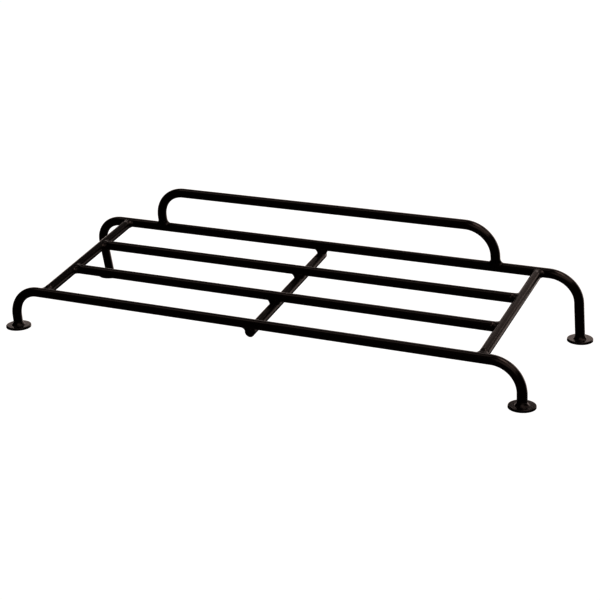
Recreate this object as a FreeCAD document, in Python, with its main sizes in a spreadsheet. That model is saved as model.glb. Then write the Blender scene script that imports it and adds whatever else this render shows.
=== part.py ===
import FreeCAD, Part

import os

import Sketcher
from FreeCAD import Vector

# A low rack welded from one size of round steel bar. Two long rails are bent down into legs at
# both ends and stand on round feet. The rear legs are longer than the front ones, so the platform
# between the rails slopes down towards the front. Two end bars and two slats fill the platform, a
# centre bar runs across underneath, and a bent guard stands on the rear rail.
#
# Frame: millimetres, +X along the rails to the right, +Y to the rear, +Z up. The origin is on the
# floor, midway between the four feet.

DIMENSIONS = (
    ("bar_dia", 12.0, "diameter of every bar"),
    ("bend_radius", 36.0, "radius of the rails' bends, to the centre of the bar"),
    ("front_leg_span", 676.0, "between the centres of the two front legs"),
    ("rear_leg_span", 680.0, "between the centres of the two rear legs"),
    ("foot_pitch", 223.0, "front foot centre to rear foot centre"),
    ("front_height", 53.0, "floor to the centre of the front rail"),
    ("rear_height", 88.5, "floor to the centre of the rear rail"),
    ("front_lean", 4.3, "front legs off vertical, top towards the front, degrees"),
    ("rear_lean", 12.4, "rear legs off vertical, top towards the front, degrees"),
    ("end_bar_pitch", 581.0, "between the centres of the two end bars"),
    ("centre_overhang", 1.0, "centre bar beyond the centre line of each rail"),
    ("guard_span", 472.0, "between the centres of the guard's legs"),
    ("guard_height", 53.5, "centre of the rear rail to the centre of the guard's top"),
    ("guard_bend_radius", 38.0, "radius of the guard's bends, to the centre of the bar"),
    ("foot_dia", 32.0, "diameter of a foot disc"),
    ("foot_thickness", 3.0, "thickness of a foot disc"),
    ("foot_edge", 0.8, "rounding of a foot disc's edges"),
    ("cut_edge", 0.6, "chamfer on the ends of the centre bar"),
    ("root_gap", 1.0, "left for weld metal where a bar butts against another"),
    ("cross_gap", 0.5, "left for weld metal where the centre bar passes under a bar"),
    ("weld_reach", 3.5, "weld beyond a bar's side, along the surface it is joined to"),
    ("weld_bulge", 1.4, "weld beyond both bars, at the side of a butt joint"),
    ("weld_rise", 5.5, "half the length of a butt weld, along the bar that ends in it"),
    ("foot_weld_reach", 2.8, "foot weld beyond the leg's side, on the disc"),
    ("foot_weld_rise", 4.2, "height of a foot weld up the leg"),
    ("foot_weld_lip", 0.5, "thickness of a foot weld at its upper edge"),
)

SIDES = (("left", -1), ("right", 1))
ENDS = ("front", "rear")

doc = FreeCAD.newDocument("log_rack")
subparts = []


# ------------------------------------------------------------------ driving dimensions

sheet = doc.addObject("Spreadsheet::Sheet", "dims")
for row, (alias, value, note) in enumerate(DIMENSIONS, start=1):
    sheet.set(f"A{row}", note)
    sheet.set(f"B{row}", str(value))
    sheet.setAlias(f"B{row}", alias)
doc.recompute()

RADIUS = "(dims.bar_dia / 2)"
HALF_SPAN = {"front": "(dims.front_leg_span / 2)", "rear": "(dims.rear_leg_span / 2)"}
HALF_END_PITCH = "(dims.end_bar_pitch / 2)"
HALF_GUARD_SPAN = "(dims.guard_span / 2)"

# A leg leans, so its foot stands a little behind its rail.
FOOT_Y = {"front": "(-dims.foot_pitch / 2)", "rear": "(dims.foot_pitch / 2)"}
LEG_RISE = {end: f"(dims.{end}_height - dims.foot_thickness)" for end in ENDS}
RAIL_Y = {end: f"({FOOT_Y[end]} - tan(dims.{end}_lean) * {LEG_RISE[end]})" for end in ENDS}

# The platform is the plane through the centres of both rails.
STEP_BACK = f"({RAIL_Y['rear']} - {RAIL_Y['front']})"
STEP_UP = "(dims.rear_height - dims.front_height)"
SLOPE = f"atan2({STEP_UP}; {STEP_BACK})"
DEPTH = f"hypot({STEP_BACK}; {STEP_UP})"
SLAT_Y = {"front": f"({DEPTH} / 3)", "rear": f"({DEPTH} * 2 / 3)"}


# ------------------------------------------------------------------ placements

def turn(x, y, z, angle):
    """Expression for a rotation about the axis x, y, z."""
    return f"rotation(vector({x}; {y}; {z}); {angle})"


UPRIGHT = turn(0, 0, 1, 0)
Z_TO_X = turn(1, 1, 1, 120)
Z_TO_Y = turn(1, 0, 0, -90)


def place(x, y, z, rotation=UPRIGHT):
    """Expression for a placement in the rack's frame."""
    return f"placement(vector({x}; {y}; {z}); {rotation})"


def on_platform(x, y, z, rotation=UPRIGHT):
    """Expression for a placement on the platform: y up the slope from the front rail, z square to it."""
    platform = place(0, RAIL_Y["front"], "dims.front_height", turn(1, 0, 0, SLOPE))
    return f"{platform} * {place(x, y, z, rotation)}"


# ------------------------------------------------------------------ building blocks

def new_body(name, placement):
    """A body that is one sub-part of the rack."""
    body = doc.addObject("PartDesign::Body", name)
    body.Label = name
    body.setExpression("Placement", placement)
    subparts.append(body)
    return body


def new_sketch(body, purpose, plane_role, offset=None):
    """An empty sketch on one of the body's own origin planes."""
    sketch = body.newObject("Sketcher::SketchObject", f"{body.Name}_{purpose}")
    planes = [feature for feature in body.Origin.OriginFeatures if feature.Role == plane_role]
    sketch.AttachmentSupport = (planes[0], [""])
    sketch.MapMode = "FlatFace"
    if offset:
        sketch.setExpression("AttachmentOffset", offset)
    return sketch


def drive(sketch, constraint, expression):
    """Adds a dimension to a sketch and binds it to the sheet."""
    index = sketch.addConstraint(constraint)
    sketch.setExpression(f"Constraints[{index}]", expression)


def add_circle(sketch, diameter):
    """A circle about the sketch's origin."""
    circle = sketch.addGeometry(Part.Circle(Vector(0, 0, 0), Vector(0, 0, 1), 5))
    sketch.addConstraint(Sketcher.Constraint("Coincident", circle, 3, -1, 1))
    drive(sketch, Sketcher.Constraint("Diameter", circle, 10), diameter)


def round_edges(feature):
    """Names of a feature's circular edges."""
    edges = enumerate(feature.Shape.Edges, start=1)
    return [f"Edge{number}" for number, edge in edges if isinstance(edge.Curve, Part.Circle)]


def straight_bar(name, length, placement, diameter="dims.bar_dia"):
    """A round bar along its own +Z, sawn square at both ends."""
    body = new_body(name, placement)
    section = new_sketch(body, "section", "XY_Plane")
    add_circle(section, diameter)
    pad = body.newObject("PartDesign::Pad", f"{name}_length")
    pad.Profile = section
    pad.setExpression("Length", length)
    doc.recompute()
    return body, pad


def soften(body, pad, kind, size):
    """Breaks the round edges of a bar or disc with a fillet or a chamfer."""
    edge_break = body.newObject(f"PartDesign::{kind}", f"{body.Name}_edges")
    edge_break.Base = (pad, round_edges(pad))
    edge_break.setExpression("Radius" if kind == "Fillet" else "Size", size)
    doc.recompute()


def bent_bar(name, half_span, leg_length, bend_radius, placement):
    """A bar bent down at both ends: its middle lies along X at z = 0, and its legs point to -Z."""
    body = new_body(name, placement)
    path = new_sketch(body, "path", "XZ_Plane")
    span, bend, leg = 100, 20, 60
    left_leg, left_bend, middle, right_bend, right_leg = path.addGeometry([
        Part.LineSegment(Vector(-span, -leg, 0), Vector(-span, -bend, 0)),
        Part.ArcOfCircle(Part.Circle(Vector(bend - span, -bend, 0), Vector(0, 0, 1), bend), 1.6, 3.1),
        Part.LineSegment(Vector(bend - span, 0, 0), Vector(span - bend, 0, 0)),
        Part.ArcOfCircle(Part.Circle(Vector(span - bend, -bend, 0), Vector(0, 0, 1), bend), 0.1, 1.5),
        Part.LineSegment(Vector(span, -bend, 0), Vector(span, -leg, 0)),
    ])
    path.addConstraint([
        Sketcher.Constraint("Tangent", left_leg, 2, left_bend, 2),
        Sketcher.Constraint("Tangent", left_bend, 1, middle, 1),
        Sketcher.Constraint("Tangent", middle, 2, right_bend, 2),
        Sketcher.Constraint("Tangent", right_bend, 1, right_leg, 1),
        Sketcher.Constraint("Vertical", left_leg),
        Sketcher.Constraint("Vertical", right_leg),
        Sketcher.Constraint("Horizontal", middle),
        Sketcher.Constraint("PointOnObject", middle, 1, -1),
        Sketcher.Constraint("Equal", left_bend, right_bend),
        Sketcher.Constraint("Symmetric", left_leg, 1, right_leg, 2, -2),
    ])
    drive(path, Sketcher.Constraint("Radius", left_bend, bend), bend_radius)
    drive(path, Sketcher.Constraint("DistanceX", -1, 1, right_leg, 2, span), half_span)
    drive(path, Sketcher.Constraint("DistanceY", right_leg, 2, -1, 1, leg), leg_length)
    section = new_sketch(body, "section", "XY_Plane", place(f"-{half_span}", 0, f"-({leg_length})"))
    add_circle(section, "dims.bar_dia")
    doc.recompute()
    sweep = body.newObject("PartDesign::AdditivePipe", f"{name}_sweep")
    sweep.Profile = section
    sweep.Spine = (path, [f"Edge{number}" for number in range(1, 6)])
    doc.recompute()
    return body


def trim_legs(body, rise, lean):
    """Cuts both legs off level with the top of the feet, although they lean."""
    swept_volume = body.Shape.Volume
    size = 60
    level = place(0, f"-{rise} / cos({lean})", 0, turn(0, 0, 1, f"-({lean})"))
    outline = new_sketch(body, "foot_line", "YZ_Plane", level)
    corners = [Vector(-size, 0), Vector(size, 0), Vector(size, -size), Vector(-size, -size)]
    sides = zip(corners, corners[1:] + corners[:1])
    top, right, bottom, left = outline.addGeometry([Part.LineSegment(*side) for side in sides])
    outline.addConstraint([
        Sketcher.Constraint("Coincident", top, 2, right, 1),
        Sketcher.Constraint("Coincident", right, 2, bottom, 1),
        Sketcher.Constraint("Coincident", bottom, 2, left, 1),
        Sketcher.Constraint("Coincident", left, 2, top, 1),
        Sketcher.Constraint("Vertical", right),
        Sketcher.Constraint("Vertical", left),
        Sketcher.Constraint("Horizontal", bottom),
        Sketcher.Constraint("PointOnObject", top, 1, -1),
        Sketcher.Constraint("Symmetric", top, 1, top, 2, -1, 1),
    ])
    drive(outline, Sketcher.Constraint("DistanceX", top, 1, top, 2, 2 * size), "dims.foot_dia * 2")
    drive(outline, Sketcher.Constraint("DistanceY", right, 2, right, 1, size), "dims.foot_dia")
    doc.recompute()
    cut = body.newObject("PartDesign::Pocket", f"{body.Name}_trim")
    cut.Profile = outline
    cut.SideType = "Symmetric"
    cut.setExpression("Length", "dims.rear_leg_span * 2")
    doc.recompute()
    if not body.Shape.Volume < swept_volume:
        raise RuntimeError(f"{body.Label}: trimming the legs cut nothing")


def cut_away(name, blank, *tools):
    """A sub-part left when the given tools are cut out of a blank, one after another."""
    blank.Label = f"{name}_blank"
    shape = blank
    for number, tool in enumerate(tools, start=1):
        cut = doc.addObject("Part::Cut", f"{name}_cut_{number}")
        cut.Base = shape
        cut.Tool = tool
        cut.Refine = True
        shape = cut
    shape.Label = name
    subparts.append(shape)
    return shape


def weld_bead(name, half_length, half_width, half_height, placement, *bars):
    """A rounded bead of weld metal that fills the corner between bars."""
    bead = doc.addObject("Part::Ellipsoid", f"{name}_bead")
    bead.setExpression("Radius1", half_length)
    bead.setExpression("Radius2", half_width)
    bead.setExpression("Radius3", half_height)
    bead.setExpression("Placement", placement)
    return cut_away(name, bead, *bars)


def butt_weld(name, placement, *bars):
    """The weld round the end of a bar, which lies along the placement's z and ends on a bar along x."""
    return weld_bead(name, "dims.weld_rise", f"{RADIUS} + dims.weld_reach",
                     f"{RADIUS} + dims.weld_bulge", placement, *bars)


def cross_weld(name, placement, *bars):
    """The weld where the centre bar, along the placement's y, passes under a bar along x."""
    return weld_bead(name, RADIUS, f"{RADIUS} + dims.weld_reach", RADIUS, placement, *bars)


# ------------------------------------------------------------------ rails and legs

rails = {}
for end in ENDS:
    lean = f"dims.{end}_lean"
    rough_leg = f"{LEG_RISE[end]} / cos({lean}) + dims.bar_dia"
    stance = place(0, RAIL_Y[end], f"dims.{end}_height", turn(1, 0, 0, lean))
    rails[end] = bent_bar(f"{end}_rail", HALF_SPAN[end], rough_leg, "dims.bend_radius", stance)
    trim_legs(rails[end], LEG_RISE[end], lean)


# ------------------------------------------------------------------ feet and their welds

def foot(end, side, direction):
    """A round disc flat on the floor under a leg."""
    centre = place(f"{direction} * {HALF_SPAN[end]}", FOOT_Y[end], 0)
    body, disc = straight_bar(f"{end}_{side}_foot", "dims.foot_thickness", centre, "dims.foot_dia")
    soften(body, disc, "Fillet", "dims.foot_edge")


def foot_weld(end, side, direction):
    """A fillet of weld round the bottom of a leg, following its lean."""
    name = f"{end}_{side}_foot_weld"
    x = f"{direction} * {HALF_SPAN[end]}"
    toe = doc.addObject("Part::Circle", f"{name}_toe")
    toe.setExpression("Radius", f"{RADIUS} + dims.foot_weld_reach")
    toe.setExpression("Placement", place(x, FOOT_Y[end], "dims.foot_thickness"))
    lip = doc.addObject("Part::Circle", f"{name}_lip")
    lip.setExpression("Radius", f"{RADIUS} + dims.foot_weld_lip")
    lip_y = f"{FOOT_Y[end]} - tan(dims.{end}_lean) * dims.foot_weld_rise"
    lip.setExpression("Placement", place(x, lip_y, "dims.foot_thickness + dims.foot_weld_rise"))
    collar = doc.addObject("Part::Loft", f"{name}_collar")
    collar.Sections = [toe, lip]
    collar.Solid = True
    collar.Ruled = True
    cut_away(name, collar, rails[end])


for end in ENDS:
    for side, direction in SIDES:
        foot(end, side, direction)
        foot_weld(end, side, direction)


# ------------------------------------------------------------------ platform

end_bars = {}
for side, direction in SIDES:
    length = f"{DEPTH} - dims.bar_dia - 2 * dims.root_gap"
    start = on_platform(f"{direction} * {HALF_END_PITCH}", f"{RADIUS} + dims.root_gap", 0, Z_TO_Y)
    end_bars[side], _ = straight_bar(f"{side}_end_bar", length, start)

slats = {}
for end in ENDS:
    length = "dims.end_bar_pitch - dims.bar_dia - 2 * dims.root_gap"
    start = on_platform(f"{RADIUS} + dims.root_gap - {HALF_END_PITCH}", SLAT_Y[end], 0, Z_TO_X)
    slats[end], _ = straight_bar(f"{end}_slat", length, start)

under = "-(dims.bar_dia + dims.cross_gap)"
centre_bar, centre_length = straight_bar(
    "centre_bar",
    f"{DEPTH} + 2 * dims.centre_overhang",
    on_platform(0, "-dims.centre_overhang", under, Z_TO_Y),
)
soften(centre_bar, centre_length, "Chamfer", "dims.cut_edge")


# ------------------------------------------------------------------ guard

guard_leg = f"dims.guard_height - {RADIUS} - dims.root_gap"
guard_place = on_platform(0, DEPTH, "dims.guard_height")
guard = bent_bar("guard", HALF_GUARD_SPAN, guard_leg, "dims.guard_bend_radius", guard_place)


# ------------------------------------------------------------------ welds between the bars

JOINT = f"({RADIUS} + dims.root_gap)"

for side, direction in SIDES:
    x = f"{direction} * {HALF_END_PITCH}"
    joint_y = {"front": JOINT, "rear": f"{DEPTH} - {JOINT}"}
    for end in ENDS:
        butt_weld(f"{end}_{side}_corner_weld", on_platform(x, joint_y[end], 0, Z_TO_Y),
                  rails[end], end_bars[side])
        butt_weld(f"{end}_slat_{side}_weld",
                  on_platform(f"{direction} * ({HALF_END_PITCH} - {JOINT})", SLAT_Y[end], 0, Z_TO_X),
                  end_bars[side], slats[end])
    butt_weld(f"guard_{side}_weld", on_platform(f"{direction} * {HALF_GUARD_SPAN}", DEPTH, JOINT),
              rails["rear"], guard)

CROSSINGS = (
    ("front_rail", "0", rails["front"]),
    ("front_slat", SLAT_Y["front"], slats["front"]),
    ("rear_slat", SLAT_Y["rear"], slats["rear"]),
    ("rear_rail", DEPTH, rails["rear"]),
)
for name, y, crossing_bar in CROSSINGS:
    middle = f"-({RADIUS} + dims.cross_gap / 2)"
    cross_weld(f"{name}_cross_weld", on_platform(0, y, middle), crossing_bar, centre_bar)


# ------------------------------------------------------------------ check and write

doc.recompute()

for item in doc.Objects:
    if "Invalid" in item.State or "Error" in item.State:
        raise RuntimeError(f"{item.Label} failed: {item.State}")
    if item.isDerivedFrom("Sketcher::SketchObject") and item.solve() != 0:
        raise RuntimeError(f"{item.Label}: the sketch does not solve")

for part in subparts:
    if part.Shape.isNull() or not part.Shape.isValid() or len(part.Shape.Solids) != 1:
        raise RuntimeError(f"{part.Label} is not one sound solid")

os.makedirs("parts", exist_ok=True)
for part in subparts:
    part.Shape.exportStep(f"parts/{part.Label}.step")
    print(f"{part.Label}: {part.Shape.Volume:.1f} mm3")
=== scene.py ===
import math

import bpy
from mathutils import Matrix, Vector, noise


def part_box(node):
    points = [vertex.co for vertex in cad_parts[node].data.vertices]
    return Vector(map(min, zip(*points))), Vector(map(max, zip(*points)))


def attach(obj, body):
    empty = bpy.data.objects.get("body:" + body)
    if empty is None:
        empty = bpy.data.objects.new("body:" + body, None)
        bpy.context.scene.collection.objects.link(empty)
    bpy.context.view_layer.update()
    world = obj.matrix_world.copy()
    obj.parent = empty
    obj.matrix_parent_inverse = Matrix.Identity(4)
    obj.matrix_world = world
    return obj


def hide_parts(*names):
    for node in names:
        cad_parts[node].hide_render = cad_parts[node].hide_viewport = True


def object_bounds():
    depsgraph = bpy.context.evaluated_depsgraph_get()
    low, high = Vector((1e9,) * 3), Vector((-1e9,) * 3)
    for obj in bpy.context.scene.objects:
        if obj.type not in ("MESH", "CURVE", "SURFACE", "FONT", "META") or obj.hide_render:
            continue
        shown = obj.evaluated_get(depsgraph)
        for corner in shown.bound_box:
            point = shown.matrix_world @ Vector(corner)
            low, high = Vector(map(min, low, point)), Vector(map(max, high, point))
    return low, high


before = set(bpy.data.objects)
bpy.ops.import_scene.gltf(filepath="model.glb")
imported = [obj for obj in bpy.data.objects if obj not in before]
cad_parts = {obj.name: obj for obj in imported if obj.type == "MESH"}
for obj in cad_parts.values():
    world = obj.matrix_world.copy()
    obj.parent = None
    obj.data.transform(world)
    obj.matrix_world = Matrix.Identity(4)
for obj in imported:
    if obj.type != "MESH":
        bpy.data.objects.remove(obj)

# A low sloping rack welded from round bar and painted satin black. Every CAD node is replaced by a
# finer mesh in the same place: slightly uneven bars, discs with rolled edges, rippled weld beads.

MM = 0.001
CAD_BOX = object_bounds()
SIDES = ("left", "right")
ENDS = ("front", "rear")
RIGHT = Vector((1, 0, 0))
UP = Vector((0, 0, 1))


# ------------------------------------------------------------------ measurements from the frame

def centre_of(node):
    low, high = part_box(node)
    return (low + high) / 2


def span_of(node):
    low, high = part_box(node)
    return high - low


BAR_RADIUS = span_of("centre_bar").x / 2
FOOT_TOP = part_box("front_left_foot")[1].z

# The nodes' boxes don't show these, so they repeat the part's own dimensions.
BEND_RADIUS = 6 * BAR_RADIUS
GUARD_BEND_RADIUS = 38 * MM
ROOT_GAP = 1.0 * MM


def rail_axis(node):
    """The point on a rail's centre line midway between its legs."""
    low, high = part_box(node)
    return Vector((0, low.y + BAR_RADIUS, high.z - BAR_RADIUS))


# The platform is the plane through the centre lines of both rails.
RAIL = {end: rail_axis(f"{end}_rail") for end in ENDS}
UP_SLOPE = (RAIL["rear"] - RAIL["front"]).normalized()
SQUARE = RIGHT.cross(UP_SLOPE)


# ------------------------------------------------------------------ mesh helpers

def smooth_object(name, vertices, faces):
    """A smooth-shaded mesh object."""
    mesh = bpy.data.meshes.new(name)
    mesh.from_pydata([tuple(v) for v in vertices], [], faces)
    mesh.validate()
    mesh.shade_smooth()
    made = bpy.data.objects.new(name, mesh)
    bpy.context.scene.collection.objects.link(made)
    return made


def skin(name, rings, capped=True):
    """Quads between rings of points. A capped skin has a closed end at the first and last ring; any
    other skin runs on from its last ring to its first."""
    count, around = len(rings), len(rings[0])
    vertices = [point for ring in rings for point in ring]
    faces = []
    for i in range(count - 1 if capped else count):
        here, there = i * around, (i + 1) % count * around
        for j in range(around):
            k = (j + 1) % around
            faces.append((here + j, here + k, there + k, there + j))
    if capped:
        faces.append(tuple(reversed(range(around))))
        faces.append(tuple(range((count - 1) * around, count * around)))
    return smooth_object(name, vertices, faces)


def show(piece, node, slot):
    """The piece stands for a CAD node and moves with the rack."""
    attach(piece, "root")
    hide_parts(node)
    piece.data.materials.append(PAINT[slot])


# ------------------------------------------------------------------ paint

SPECULAR_TINT = (1.0, 0.83, 0.77, 1.0)
MOTTLE_SCALE = 180.0
GRAIN_SCALE = 900.0
DARK_SHADE = 0.7
LIGHT_SHADE = 1.5
DARK_BELOW = 0.3
LIGHT_ABOVE = 0.75
GLOSSIER = 0.05
DULLER = 0.07
PEEL_DEPTH = 0.05 * MM


def node_input(node, socket, value):
    """Sets a socket, or links another node's output to it."""
    if isinstance(value, bpy.types.NodeSocket):
        node.id_data.links.new(value, node.inputs[socket])
    else:
        node.inputs[socket].default_value = value


def add_node(tree, kind, **values):
    """A node with its inputs set by name; returns its first output."""
    node = tree.nodes.new(kind)
    for socket, value in values.items():
        node_input(node, socket.replace("_", " "), value)
    return node.outputs[0]


def satin_black(name, colour, roughness, orange_peel):
    """Satin black paint with a faint brown cast, slightly mottled, uneven in gloss and with a fine
    orange peel."""
    material = bpy.data.materials.new(name)
    material.use_nodes = True
    tree = material.node_tree
    shader = tree.nodes["Principled BSDF"]
    place = tree.nodes.new("ShaderNodeTexCoord").outputs["Object"]
    mottle = add_node(tree, "ShaderNodeTexNoise", Vector=place, Scale=MOTTLE_SCALE, Detail=4.0,
                      Roughness=0.6)
    grain = add_node(tree, "ShaderNodeTexNoise", Vector=place, Scale=GRAIN_SCALE, Detail=2.0,
                     Roughness=0.5)
    shade = tree.nodes.new("ShaderNodeValToRGB")
    dark, light = shade.color_ramp.elements
    dark.position = DARK_BELOW
    dark.color = [channel * DARK_SHADE for channel in colour] + [1]
    light.position = LIGHT_ABOVE
    light.color = [channel * LIGHT_SHADE for channel in colour] + [1]
    node_input(shade, "Fac", mottle)
    node_input(shader, "Base Color", shade.outputs["Color"])
    gloss = add_node(tree, "ShaderNodeMapRange", Value=mottle, To_Min=roughness - GLOSSIER,
                     To_Max=roughness + DULLER)
    node_input(shader, "Roughness", gloss)
    node_input(shader, "Specular Tint", SPECULAR_TINT)
    peel = tree.nodes.new("ShaderNodeBump")
    node_input(peel, "Strength", orange_peel)
    node_input(peel, "Distance", PEEL_DEPTH)
    node_input(peel, "Height", grain)
    node_input(shader, "Normal", peel.outputs["Normal"])
    return material


PAINT = {
    "bar_paint": satin_black("bar_paint", (0.0024, 0.0009, 0.0006), 0.22, 0.5),
    "foot_paint": satin_black("foot_paint", (0.0024, 0.001, 0.0007), 0.18, 0.4),
    "weld_paint": satin_black("weld_paint", (0.0024, 0.0009, 0.0006), 0.26, 0.5),
}


# ------------------------------------------------------------------ bars

AROUND = 48
STATION = 5 * MM
LEG_STATION = 3 * MM
BEND_STATIONS = 28
BEND_SQUASH = 0.03
WAVER = 0.06 * MM
WAVER_SCALE = 90.0
SUNK = 0.4 * MM
END_CHAMFER = 0.6 * MM


def uneven(point):
    """How far the rolled and painted surface stands off its full size at a point, never above it."""
    return WAVER * (noise.noise(Vector(point) * WAVER_SCALE) - 1) / 2


def ring_at(point, along, side, radius=BAR_RADIUS, squash=0.0):
    """A ring of points square to a bar's run. The squash narrows it along one side, as a bend does."""
    along = along.normalized()
    other = along.cross(side).normalized()
    ring = []
    for k in range(AROUND):
        angle = 2 * math.pi * k / AROUND
        offset = (side * math.sin(angle) * (1 + squash / 2)
                  + other * math.cos(angle) * (1 - squash)) * radius
        ring.append(point + offset + offset.normalized() * uneven(point + offset))
    return ring


def straight_run(start, end, step=STATION):
    """Points along a straight run, both ends included."""
    count = max(2, round((end - start).length / step))
    return [start.lerp(end, k / count) for k in range(count + 1)]


def bent_bar(node, crown, up, half_span, leg_feet, bend_radius):
    """A bar whose middle runs along X through the crown and whose legs run down against up. Its rings
    go up the left leg, along the middle and down the right leg."""
    down = -up
    plane = RIGHT.cross(up).normalized()
    left_corner = crown - RIGHT * half_span
    right_corner = crown + RIGHT * half_span

    def bend(corner, inward, first_turn):
        """A quarter turn of rings inside a corner."""
        pivot = corner + (inward + down) * bend_radius
        for k in range(BEND_STATIONS + 1):
            turn = first_turn + math.pi / 2 * k / BEND_STATIONS
            spoke = -RIGHT * math.cos(turn) + up * math.sin(turn)
            run = RIGHT * math.sin(turn) + up * math.cos(turn)
            squash = BEND_SQUASH * math.sin(math.pi * k / BEND_STATIONS)
            yield ring_at(pivot + spoke * bend_radius, run, plane, squash=squash)

    left_leg = straight_run(leg_feet[0], left_corner + down * bend_radius, LEG_STATION)
    middle = straight_run(left_corner + RIGHT * bend_radius, right_corner - RIGHT * bend_radius)
    right_leg = straight_run(right_corner + down * bend_radius, leg_feet[1], LEG_STATION)
    rings = [ring_at(point, up, plane) for point in left_leg[:-1]]
    rings.extend(bend(left_corner, RIGHT, 0.0))
    rings.extend(ring_at(point, RIGHT, plane) for point in middle[1:-1])
    rings.extend(bend(right_corner, -RIGHT, math.pi / 2))
    rings.extend(ring_at(point, down, plane) for point in right_leg[1:])
    show(skin(f"{node}_bar", rings), node, "bar_paint")


def straight_bar(node, start, end, side, chamfer=0.0):
    """A straight bar with sawn ends, chamfered where they show."""
    run = (end - start).normalized()
    rings = [ring_at(point, run, side)
             for point in straight_run(start + run * chamfer, end - run * chamfer)]
    if chamfer:
        rings.insert(0, ring_at(start, run, side, BAR_RADIUS - chamfer))
        rings.append(ring_at(end, run, side, BAR_RADIUS - chamfer))
    show(skin(f"{node}_bar", rings), node, "bar_paint")


# A rail's legs lean, and sink a little way into the tops of its feet.
LEG_UP = {}
LEG_FOOT = {}
for end in ENDS:
    half_span = span_of(f"{end}_rail").x / 2 - BAR_RADIUS
    base = Vector((0, centre_of(f"{end}_left_foot").y, FOOT_TOP))
    LEG_UP[end] = (RAIL[end] - base).normalized()
    below = base - LEG_UP[end] * SUNK
    LEG_FOOT[end] = [below - RIGHT * half_span, below + RIGHT * half_span]
    bent_bar(f"{end}_rail", RAIL[end], LEG_UP[end], half_span, LEG_FOOT[end], BEND_RADIUS)

END_BAR_X = {side: centre_of(f"{side}_end_bar").x for side in SIDES}
for side in SIDES:
    across = RIGHT * END_BAR_X[side]
    inset = UP_SLOPE * (BAR_RADIUS + ROOT_GAP)
    straight_bar(f"{side}_end_bar", RAIL["front"] + across + inset, RAIL["rear"] + across - inset,
                 RIGHT)

for end in ENDS:
    low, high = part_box(f"{end}_slat")
    middle = (low + high) / 2
    straight_bar(f"{end}_slat", Vector((low.x, middle.y, middle.z)),
                 Vector((high.x, middle.y, middle.z)), SQUARE)

# The centre bar's box holds its slanting ends, so its own length is a little more than the box's.
CENTRE_MIDDLE = centre_of("centre_bar")
CENTRE_LENGTH = (span_of("centre_bar").y - 2 * BAR_RADIUS * UP_SLOPE.z) / UP_SLOPE.y
straight_bar("centre_bar", CENTRE_MIDDLE - UP_SLOPE * CENTRE_LENGTH / 2,
             CENTRE_MIDDLE + UP_SLOPE * CENTRE_LENGTH / 2, RIGHT, END_CHAMFER)

GUARD_HALF_SPAN = span_of("guard").x / 2 - BAR_RADIUS
guard_low, guard_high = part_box("guard")
guard_crown = Vector((0, guard_low.y + BAR_RADIUS, guard_high.z - BAR_RADIUS))
guard_feet = [RAIL["rear"] + RIGHT * x + SQUARE * (BAR_RADIUS + ROOT_GAP)
              for x in (-GUARD_HALF_SPAN, GUARD_HALF_SPAN)]
bent_bar("guard", guard_crown, SQUARE, GUARD_HALF_SPAN, guard_feet, GUARD_BEND_RADIUS)


# ------------------------------------------------------------------ feet

FOOT_AROUND = 96
ROLLED_EDGE = 0.9 * MM
ROLLED_STEPS = 9
LOWER_EDGE = 0.45 * MM
LOWER_STEPS = 5
UNDERSIDE_RINGS = (0.25, 0.6, 0.9)
TOP_RINGS = (0.9, 0.8, 0.65, 0.5, 0.3)


def foot_profile(radius, height):
    """Half of a punched disc's outline from its underside to its top: radius and height of each point."""
    points = [(radius * share, 0.0) for share in UNDERSIDE_RINGS]
    for k in range(LOWER_STEPS + 1):
        turn = math.pi / 2 * k / LOWER_STEPS
        points.append((radius - LOWER_EDGE * (1 - math.sin(turn)), LOWER_EDGE * (1 - math.cos(turn))))
    for k in range(ROLLED_STEPS + 1):
        turn = math.pi / 2 * k / ROLLED_STEPS
        points.append((radius - ROLLED_EDGE * (1 - math.cos(turn)),
                       height - ROLLED_EDGE * (1 - math.sin(turn))))
    points += [(radius * share, height) for share in TOP_RINGS]
    return points


def foot(node):
    """A round disc punched from plate, with its edge rolled over at the top."""
    low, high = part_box(node)
    middle = (low + high) / 2
    rings = []
    for radius, height in foot_profile((high.x - low.x) / 2, high.z - low.z):
        ring = []
        for k in range(FOOT_AROUND):
            angle = 2 * math.pi * k / FOOT_AROUND
            ring.append(Vector((middle.x + radius * math.cos(angle),
                                middle.y + radius * math.sin(angle), low.z + height)))
        rings.append(ring)
    show(skin(f"{node}_disc", rings), node, "foot_paint")


for end in ENDS:
    for side in SIDES:
        foot(f"{end}_{side}_foot")


# ------------------------------------------------------------------ welds

WELD_AROUND = 120
WELD_ACROSS = 16
RIPPLE = 0.07 * MM
RIPPLE_PITCH = 1.6 * MM
CRESCENT = 0.9
SKIN = 0.05 * MM
BEAD_DEPTH = 1.6 * MM
HEEL_DEPTH = 1.4 * BEAD_DEPTH

# How far a bead's edges and fullness stray from even, and how fast they do so round the ring.
WANDER_SCALE = 1.6
WANDER_APART = 3.7
TOE_WANDER = 0.2
TOP_WANDER = 0.25
FULLNESS_WANDER = 0.3

# A weld's edge wraps a bar through an angle to each side, and its face is hollowed or swollen.
BUTT_REACH = 3.5 * MM
BUTT_RISE = 3.6 * MM
BUTT_SIDE_RISE = 0.55
BUTT_WRAP = math.radians(70)
BUTT_HOLLOW = 0.85
FOOT_WELD_REACH = 2.8 * MM
FOOT_WELD_RISE = 3.8 * MM
FOOT_WELD_HOLLOW = 0.3 * MM
CROSS_REACH = 3.5 * MM
CROSS_TOP_REACH = 0.4 * CROSS_REACH
CROSS_TOE_WRAP = math.radians(66)
CROSS_TOP_WRAP = math.radians(74)
CROSS_SWELL = 0.1
CROSS_HOLLOW = 0.8


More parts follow.
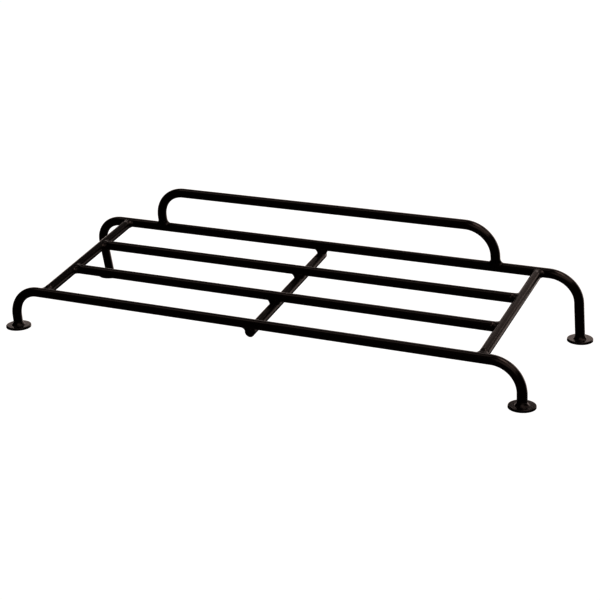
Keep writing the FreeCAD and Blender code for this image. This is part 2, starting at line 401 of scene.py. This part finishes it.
def weld_ring(node, origin, x_axis, z_axis, toe, top, bulge, seed):
    """A closed ring of rippled weld metal between a toe line on one surface and a top line on another,
    both given by angle round the z axis. A negative bulge hollows the fillet."""
    y_axis = z_axis.cross(x_axis).normalized()
    local = Matrix((x_axis, y_axis, z_axis)).transposed()
    rings = []
    travelled = 0.0
    last_toe = None
    for i in range(WELD_AROUND):
        angle = 2 * math.pi * i / WELD_AROUND
        round_ring = Vector((math.cos(angle), math.sin(angle), seed * WANDER_APART))
        wander = noise.noise(round_ring * WANDER_SCALE)
        low = Vector(toe(angle, 1 + TOE_WANDER * wander))
        high = Vector(top(angle, 1 - TOP_WANDER * wander))
        if last_toe is not None:
            travelled += (low - last_toe).length
        last_toe = low
        chord = high - low
        outward = Vector((math.cos(angle), math.sin(angle), 0))
        outward = (outward - chord * outward.dot(chord) / chord.length_squared).normalized()
        knee = (low + high) / 2 + outward * (2 * bulge(angle) * (1 + FULLNESS_WANDER * wander))
        ring = []
        for j in range(WELD_ACROSS + 1):
            t = j / WELD_ACROSS
            point = low * (1 - t) ** 2 + knee * (2 * t * (1 - t)) + high * t ** 2
            crescent = travelled / RIPPLE_PITCH + CRESCENT * (2 * t - 1) ** 2
            ripple = abs(math.sin(math.pi * crescent)) - 0.5
            ring.append(point + outward * (RIPPLE * ripple * math.sin(math.pi * t)))
        ring.append(high - outward * BEAD_DEPTH)
        ring.append((low + high) / 2 - outward * HEEL_DEPTH)
        ring.append(low - outward * BEAD_DEPTH)
        rings.append([origin + local @ point for point in ring])
    show(skin(f"{node}_bead", rings, capped=False), node, "weld_paint")


def butt_weld(node, origin, x_axis, z_axis, seed):
    """A weld round the end of a bar, which lies along z and ends on a bar along x."""
    radius = BAR_RADIUS - SKIN

    def toe(angle, size):
        roll = BUTT_WRAP * math.sin(angle)
        reach = (BAR_RADIUS + BUTT_REACH * size) * math.cos(angle)
        return reach, radius * math.sin(roll), radius * math.cos(roll)

    def top(angle, size):
        share = BUTT_SIDE_RISE + (1 - BUTT_SIDE_RISE) * math.cos(angle) ** 2
        rise = BAR_RADIUS + ROOT_GAP + BUTT_RISE * size * share
        return radius * math.cos(angle), radius * math.sin(angle), rise

    def bulge(angle):
        return -BUTT_HOLLOW * math.cos(angle) ** 2 * MM

    weld_ring(node, origin, x_axis, z_axis, toe, top, bulge, seed)


def foot_weld(node, end, index, seed):
    """A ring of weld from a foot's top face up a leaning leg."""
    leg = LEG_UP[end]
    lean = leg.y / leg.z
    foot_centre = Vector((LEG_FOOT[end][index].x, centre_of(f"{end}_left_foot").y, FOOT_TOP))

    def toe(angle, size):
        reach = BAR_RADIUS + FOOT_WELD_REACH * size
        return reach * math.cos(angle), reach * math.sin(angle), -SKIN

    def top(angle, size):
        rise = FOOT_WELD_RISE * size
        radius = BAR_RADIUS - SKIN
        return radius * math.cos(angle), radius * math.sin(angle) + lean * rise, rise

    def bulge(angle):
        return -FOOT_WELD_HOLLOW

    weld_ring(node, foot_centre, RIGHT, UP, toe, top, bulge, seed)


def cross_weld(node, origin, gap, bar_ends, seed):
    """A ring of weld round the place where the centre bar passes under another bar. The centre bar's
    ends, given along it, cut the ring short."""
    radius = BAR_RADIUS - SKIN

    def toe(angle, size):
        roll = CROSS_TOE_WRAP * math.sin(angle)
        reach = (BAR_RADIUS + CROSS_REACH * size) * math.cos(angle)
        return reach, radius * math.sin(roll), gap / 2 + BAR_RADIUS - radius * math.cos(roll)

    def top(angle, size):
        roll = CROSS_TOP_WRAP * math.cos(angle)
        reach = (BAR_RADIUS + CROSS_TOP_REACH * size) * math.sin(angle)
        along = min(max(reach, bar_ends[0] + END_CHAMFER), bar_ends[1] - END_CHAMFER)
        return radius * math.sin(roll), along, radius * math.cos(roll) - gap / 2 - BAR_RADIUS

    def bulge(angle):
        return (CROSS_SWELL - CROSS_HOLLOW * math.cos(angle) ** 2) * MM

    weld_ring(node, origin, RIGHT, SQUARE, toe, top, bulge, seed)


TOWARDS_MIDDLE = {"left": RIGHT, "right": -RIGHT}
INTO_PLATFORM = {"front": UP_SLOPE, "rear": -UP_SLOPE}
seed = 1
for end in ENDS:
    for index, side in enumerate(SIDES):
        foot_weld(f"{end}_{side}_foot_weld", end, index, seed)
        corner = RAIL[end] + RIGHT * END_BAR_X[side]
        butt_weld(f"{end}_{side}_corner_weld", corner, RIGHT, INTO_PLATFORM[end], seed + 1)
        slat_middle = centre_of(f"{end}_slat")
        slat_end = Vector((END_BAR_X[side], slat_middle.y, slat_middle.z))
        butt_weld(f"{end}_slat_{side}_weld", slat_end, UP_SLOPE, TOWARDS_MIDDLE[side], seed + 2)
        seed += 3
for side, x in zip(SIDES, (-GUARD_HALF_SPAN, GUARD_HALF_SPAN)):
    butt_weld(f"guard_{side}_weld", RAIL["rear"] + RIGHT * x, RIGHT, SQUARE, seed)
    seed += 1

CROSS_GAP = (RAIL["front"] - CENTRE_MIDDLE).dot(SQUARE) - 2 * BAR_RADIUS
CROSSED = {
    "front_rail": RAIL["front"],
    "front_slat": centre_of("front_slat"),
    "rear_slat": centre_of("rear_slat"),
    "rear_rail": RAIL["rear"],
}
for name, crossed in CROSSED.items():
    touch = crossed - SQUARE * (BAR_RADIUS + CROSS_GAP / 2)
    from_middle = (touch - CENTRE_MIDDLE).dot(UP_SLOPE)
    bar_ends = (-CENTRE_LENGTH / 2 - from_middle, CENTRE_LENGTH / 2 - from_middle)
    cross_weld(f"{name}_cross_weld", Vector((0, touch.y, touch.z)), CROSS_GAP, bar_ends, seed)
    seed += 1


# ------------------------------------------------------------------ view and world

# A gamma under 1 darkens the half tones, so dark bars don't look thin against the white.
VIEW_GAMMA = 0.7
WHITE = (1, 1, 1, 1)
WORLD_STRENGTH = 0.017

scene = bpy.context.scene
scene.view_settings.view_transform = "Standard"
scene.view_settings.gamma = VIEW_GAMMA

world = bpy.data.worlds.new("studio")
scene.world = world
world.use_nodes = True
node_input(world.node_tree.nodes["Background"], "Color", WHITE)
node_input(world.node_tree.nodes["Background"], "Strength", WORLD_STRENGTH)


# ------------------------------------------------------------------ stage

STAGE_RADIUS = 15.0
STAGE_GLOW = 0.97
STAGE_COLOUR = (0.1, 0.1, 0.1, 1)
STAGE_ROUGHNESS = 0.9
DOME_SEGMENTS = 64


def stage_material():
    """White that glows by itself, so the lamps shape only the rack. It is clear from behind, so the
    rack shows from below the floor."""
    material = bpy.data.materials.new("stage_paint")
    material.use_nodes = True
    tree = material.node_tree
    shader = tree.nodes["Principled BSDF"]
    node_input(shader, "Base Color", STAGE_COLOUR)
    node_input(shader, "Roughness", STAGE_ROUGHNESS)
    node_input(shader, "Specular IOR Level", 0.0)
    node_input(shader, "Emission Color", WHITE)
    node_input(shader, "Emission Strength", STAGE_GLOW)
    one_sided = tree.nodes.new("ShaderNodeMixShader")
    node_input(one_sided, "Fac", tree.nodes.new("ShaderNodeNewGeometry").outputs["Backfacing"])
    node_input(one_sided, 1, shader.outputs["BSDF"])
    node_input(one_sided, 2, tree.nodes.new("ShaderNodeBsdfTransparent").outputs["BSDF"])
    node_input(tree.nodes["Material Output"], "Surface", one_sided.outputs["Shader"])
    return material


STAGE_PAINT = stage_material()
bpy.ops.mesh.primitive_plane_add(size=2 * STAGE_RADIUS)
floor = bpy.context.object
floor.name = "floor"
bpy.ops.mesh.primitive_uv_sphere_add(segments=DOME_SEGMENTS, ring_count=DOME_SEGMENTS // 2,
                                     radius=STAGE_RADIUS)
dome = bpy.context.object
dome.name = "dome"
dome.data.flip_normals()
dome.visible_diffuse = False
for surface in (floor, dome):
    surface.data.materials.append(STAGE_PAINT)
    surface.visible_glossy = False
    surface.visible_shadow = False


# ------------------------------------------------------------------ light

# Softboxes that face the rack: name, azimuth, elevation, width, height, brightness. The backdrop
# reaches below the floor, which reflections don't show: there it stands for the pale floor behind.
LAMP_DISTANCE = 8.0
LAMP_COLOUR = (1.0, 0.88, 0.83)
LAMPS = (
    ("backdrop", 189, 0.5, 15.1, 6.7, 1.6),
    ("backdrop_right", 140, -7, 1.8, 4.3, 1.25),
    ("key", 152, 26.5, 1.5, 1.8, 3.25),
    ("upper", 184, 39, 6.6, 2.2, 1.25),
    ("overhead", 105, 71, 5.2, 3.1, 4),
    ("right", 92.5, 46, 7.1, 3.4, 1.75),
    ("top", 265, 65, 2.9, 4.3, 1.25),
    ("front", 28, 36, 7.4, 5.4, 1.2),
)
AIM = (CAD_BOX[0] + CAD_BOX[1]) / 2


def direction(azimuth, elevation):
    """Unit vector from the rack towards a viewer. Azimuth 0 looks along +Y and 90 along -X."""
    turn, tilt = math.radians(azimuth), math.radians(elevation)
    return Vector((math.sin(turn) * math.cos(tilt), -math.cos(turn) * math.cos(tilt), math.sin(tilt)))


for name, azimuth, elevation, width, height, brightness in LAMPS:
    lamp = bpy.data.lights.new(name, "AREA")
    lamp.shape = "RECTANGLE"
    lamp.size = width
    lamp.size_y = height
    lamp.energy = brightness * math.pi * width * height
    lamp.color = LAMP_COLOUR
    softbox = bpy.data.objects.new(name, lamp)
    softbox.location = AIM + direction(azimuth, elevation) * LAMP_DISTANCE
    softbox.rotation_euler = (AIM - softbox.location).to_track_quat("-Z", "Y").to_euler()
    softbox.visible_camera = False
    scene.collection.objects.link(softbox)


# ------------------------------------------------------------------ camera

CAMERA_AZIMUTH = 26.204
CAMERA_ELEVATION = 19.575
CAMERA_ROLL = -1.439
CAMERA_DISTANCE = 1.9038
CAMERA_LENS = 91.97
CAMERA_SENSOR = 36.0
CAMERA_AIM = Vector((0, -0.01128, 0.058))
CAMERA_SHIFT_RIGHT = 0.01611
CAMERA_SHIFT_UP = -0.00973

camera_data = bpy.data.cameras.new("camera")
camera_data.lens = CAMERA_LENS
camera_data.sensor_width = CAMERA_SENSOR
camera = bpy.data.objects.new("camera", camera_data)
towards_camera = direction(CAMERA_AZIMUTH, CAMERA_ELEVATION)
picture_right = UP.cross(towards_camera).normalized()
picture_up = towards_camera.cross(picture_right)
target = CAMERA_AIM + picture_right * CAMERA_SHIFT_RIGHT + picture_up * CAMERA_SHIFT_UP
camera.location = target + towards_camera * CAMERA_DISTANCE
facing = Matrix((picture_right, picture_up, towards_camera)).transposed()
camera.rotation_euler = (facing @ Matrix.Rotation(math.radians(CAMERA_ROLL), 3, "Z")).to_euler()
scene.collection.objects.link(camera)
scene.camera = camera
